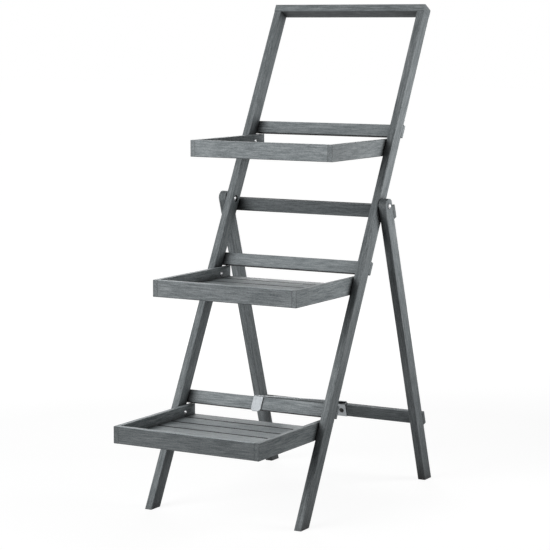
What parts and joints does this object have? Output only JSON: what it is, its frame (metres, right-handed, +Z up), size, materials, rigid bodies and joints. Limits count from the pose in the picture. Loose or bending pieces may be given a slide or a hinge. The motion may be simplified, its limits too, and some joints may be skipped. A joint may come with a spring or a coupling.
{
  "type": "plant ladder stand",
  "caption": "Folding ladder-shaped plant stand with tilting slatted trays on a leaning front frame, a hinged rear frame and a steel stay.",
  "frame": {"origin": "middle of the stand's box, on the floor", "axes": "+X to the stand's right as seen from the front, +Y to the back, +Z up; the trays reach towards -Y"},
  "size_m": [0.4608, 0.7876, 1.16],
  "materials": {
    "frame_timber": "grey washed timber, brushed, matt",
    "tray_timber": "grey washed timber, brushed, matt",
    "slat_timber": "grey washed timber, brushed, matt",
    "bright_steel": "bright zinc plated",
    "zinc_steel": "dull zinc plated strip",
    "black_steel": "black, semi gloss"
  },
  "bodies": {
    "front_frame": {"rail_left": "frame_timber", "rail_right": "frame_timber", "top_rail": "frame_timber", "bar_upper": "frame_timber", "bar_middle": "frame_timber", "bar_lower": "frame_timber", "bar_screws": "bright_steel", "top_rail_screws": "bright_steel", "pivot_bolts": "bright_steel", "pivot_nuts": "bright_steel", "pivot_washers": "bright_steel", "tray_bolts": "bright_steel", "tray_inserts": "bright_steel", "tray_washers": "bright_steel"},
    "rear_frame": {"leg_left": "frame_timber", "leg_right": "frame_timber", "leg_bar_upper": "frame_timber", "leg_bar_lower": "frame_timber", "leg_bar_screws": "bright_steel", "keeper_plate": "zinc_steel", "keeper_screw": "black_steel"},
    "stay": {"stay_hook": "zinc_steel", "stay_strap": "zinc_steel", "stay_lip": "zinc_steel"},
    "tray_top": {"tray_top_side_left": "tray_timber", "tray_top_side_right": "tray_timber", "tray_top_front_board": "tray_timber", "tray_top_cleat_left": "slat_timber", "tray_top_cleat_right": "slat_timber", "tray_top_dowels": "slat_timber", "tray_top_slat_1": "slat_timber", "tray_top_slat_2": "slat_timber", "tray_top_slat_3": "slat_timber", "tray_top_slat_4": "slat_timber", "tray_top_slat_5": "slat_timber", "tray_top_slat_6": "slat_timber"},
    "tray_middle": {"tray_middle_side_left": "tray_timber", "tray_middle_side_right": "tray_timber", "tray_middle_front_board": "tray_timber", "tray_middle_cleat_left": "slat_timber", "tray_middle_cleat_right": "slat_timber", "tray_middle_dowels": "slat_timber", "tray_middle_slat_1": "slat_timber", "tray_middle_slat_2": "slat_timber", "tray_middle_slat_3": "slat_timber", "tray_middle_slat_4": "slat_timber", "tray_middle_slat_5": "slat_timber", "tray_middle_slat_6": "slat_timber"},
    "tray_bottom": {"tray_bottom_side_left": "tray_timber", "tray_bottom_side_right": "tray_timber", "tray_bottom_front_board": "tray_timber", "tray_bottom_cleat_left": "slat_timber", "tray_bottom_cleat_right": "slat_timber", "tray_bottom_dowels": "slat_timber", "tray_bottom_slat_1": "slat_timber", "tray_bottom_slat_2": "slat_timber", "tray_bottom_slat_3": "slat_timber", "tray_bottom_slat_4": "slat_timber", "tray_bottom_slat_5": "slat_timber", "tray_bottom_slat_6": "slat_timber"}
  },
  "joints": [
    {"name": "rear_frame_fold", "type": "hinge", "parent": "front_frame", "child": "rear_frame", "pos_m": [0, 0.13836, 0.69178], "axis": [-1, 0, 0], "range_deg": [0, 43]},
    {"name": "tray_top_fold", "type": "hinge", "parent": "front_frame", "child": "tray_top", "pos_m": [0, 0.20956, 0.82797], "axis": [-1, 0, 0], "range_deg": [0, 117]},
    {"name": "tray_middle_fold", "type": "hinge", "parent": "front_frame", "child": "tray_middle", "pos_m": [0, 0.04741, 0.5178], "axis": [-1, 0, 0], "range_deg": [0, 117]},
    {"name": "tray_bottom_fold", "type": "hinge", "parent": "front_frame", "child": "tray_bottom", "pos_m": [0, -0.11474, 0.20763], "axis": [-1, 0, 0], "range_deg": [0, 117]},
    {"name": "stay_lift", "type": "slide", "parent": "front_frame", "child": "stay", "axis": [0, 0, 1], "range_m": [0, 0.04]}
  ]
}
